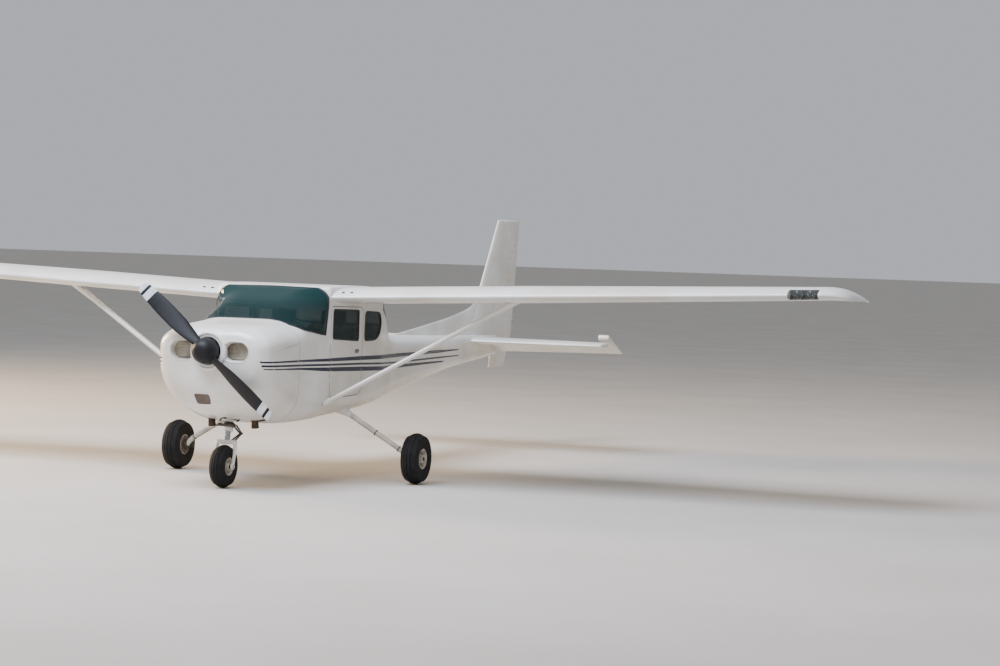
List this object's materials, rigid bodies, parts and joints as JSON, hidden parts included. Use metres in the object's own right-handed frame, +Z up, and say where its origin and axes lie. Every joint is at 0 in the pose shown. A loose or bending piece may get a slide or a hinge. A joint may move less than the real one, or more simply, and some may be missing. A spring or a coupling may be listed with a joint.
{
  "type": "two-seat high-wing light aircraft",
  "caption": "Two-seat light aircraft with a strut-braced high wing, nose engine, fixed tricycle gear, swept fin, hinged doors and working control surfaces.",
  "frame": {"origin": "centre of the bounding box in X and Y, on the ground under the wheels", "axes": "+Z up, -Y towards the nose, +X towards the left (port) wing tip"},
  "size_m": [9.95, 7.67, 2.39],
  "materials": {
    "white_paint": "gloss white paint on sheet aluminium",
    "clear_glass": "clear acrylic sheet with a green tint",
    "blade_black": "matt black paint on forged aluminium",
    "tyre_rubber": "matt black rubber",
    "wheel_grey": "grey-painted cast wheel",
    "gear_steel": "painted spring steel",
    "engine_metal": "plain grey castings",
    "exhaust_steel": "heat-stained steel",
    "seat_cloth": "woven seat cloth",
    "panel_black": "matt black panel",
    "lamp_glass": "clear lens over two lamps"
  },
  "bodies": {
    "airframe": {"cabin_shell": "white_paint", "windshield": "clear_glass", "rear_window": "clear_glass", "left_rear_side_window": "clear_glass", "right_rear_side_window": "clear_glass", "nose_bowl": "white_paint", "upper_cowl": "white_paint", "lower_cowl": "white_paint", "engine_block": "engine_metal", "left_exhaust_pipe": "exhaust_steel", "right_exhaust_pipe": "exhaust_steel", "instrument_panel": "panel_black", "left_seat": "seat_cloth", "right_seat": "seat_cloth", "stabiliser": "white_paint", "tail_cone": "white_paint", "fin": "white_paint", "left_wing": "white_paint", "right_wing": "white_paint", "landing_light": "lamp_glass", "left_wing_tip": "white_paint", "right_wing_tip": "white_paint", "left_wing_strut": "white_paint", "right_wing_strut": "white_paint", "left_gear_leg": "gear_steel", "right_gear_leg": "gear_steel", "nose_strut": "gear_steel"},
    "propeller": {"propeller": "blade_black", "spinner": "blade_black"},
    "nose_fork": {"nose_fork": "gear_steel"},
    "nose_wheel": {"nose_wheel_rim": "wheel_grey", "nose_tyre": "tyre_rubber"},
    "left_wheel": {"left_wheel_rim": "wheel_grey", "left_main_tyre": "tyre_rubber"},
    "right_wheel": {"right_wheel_rim": "wheel_grey", "right_main_tyre": "tyre_rubber"},
    "left_door": {"left_door": "white_paint", "left_door_window": "clear_glass"},
    "right_door": {"right_door": "white_paint", "right_door_window": "clear_glass"},
    "left_flap": {"left_flap": "white_paint"},
    "right_flap": {"right_flap": "white_paint"},
    "left_aileron": {"left_aileron": "white_paint"},
    "right_aileron": {"right_aileron": "white_paint"},
    "elevator": {"elevator": "white_paint"},
    "rudder": {"rudder": "white_paint"}
  },
  "joints": [
    {"name": "propeller_spin", "type": "hinge", "parent": "airframe", "child": "propeller", "pos_m": [0, -3.715, 1.15], "axis": [0, 1, 0], "continuous": true},
    {"name": "nose_wheel_steer", "type": "hinge", "parent": "airframe", "child": "nose_fork", "pos_m": [0, -3.2428, 0.47], "axis": [0, 0.2516, 0.9678], "range_deg": [-30, 30]},
    {"name": "nose_wheel_spin", "type": "hinge", "parent": "nose_fork", "child": "nose_wheel", "pos_m": [0, -3.315, 0.18044], "axis": [1, 0, 0], "continuous": true},
    {"name": "left_wheel_spin", "type": "hinge", "parent": "airframe", "child": "left_wheel", "pos_m": [1.15, -1.875, 0.22208], "axis": [1, 0, 0], "continuous": true},
    {"name": "right_wheel_spin", "type": "hinge", "parent": "airframe", "child": "right_wheel", "pos_m": [-1.15, -1.875, 0.22208], "axis": [1, 0, 0], "continuous": true},
    {"name": "left_door_swing", "type": "hinge", "parent": "airframe", "child": "left_door", "pos_m": [0.536, -2.385, 1.1], "axis": [0, 0, -1], "range_deg": [0, 70]},
    {"name": "right_door_swing", "type": "hinge", "parent": "airframe", "child": "right_door", "pos_m": [-0.536, -2.385, 1.1], "axis": [0, 0, 1], "range_deg": [0, 70]},
    {"name": "left_flap_lower", "type": "hinge", "parent": "airframe", "child": "left_flap", "pos_m": [1.505, -1.21743, 1.6321], "axis": [-0.999, 0.0149, -0.0411], "range_deg": [0, 40]},
    {"name": "right_flap_lower", "type": "hinge", "parent": "airframe", "child": "right_flap", "pos_m": [-1.505, -1.21743, 1.6321], "axis": [-0.999, -0.0149, 0.0411], "range_deg": [0, 40]},
    {"name": "left_aileron_raise", "type": "hinge", "parent": "airframe", "child": "left_aileron", "pos_m": [3.54, -1.29934, 1.71501], "axis": [0.9952, -0.0886, 0.042], "range_deg": [-17, 17]},
    {"name": "right_aileron_raise", "type": "hinge", "parent": "airframe", "child": "right_aileron", "pos_m": [-3.54, -1.29934, 1.71501], "axis": [0.9952, 0.0886, -0.042], "range_deg": [-17, 17]},
    {"name": "elevator_raise", "type": "hinge", "parent": "airframe", "child": "elevator", "pos_m": [0, 2.745, 1.125], "axis": [1, 0, 0], "range_deg": [0, 45]},
    {"name": "rudder_turn", "type": "hinge", "parent": "airframe", "child": "rudder", "pos_m": [0, 3.121, 1], "axis": [0, 0.2696, 0.963], "range_deg": [-23, 23]}
  ],
  "couplings": [
    {"joint": "right_aileron_raise", "follows": "left_aileron_raise", "ratio": -1},
    {"joint": "right_flap_lower", "follows": "left_flap_lower", "ratio": 1}
  ]
}
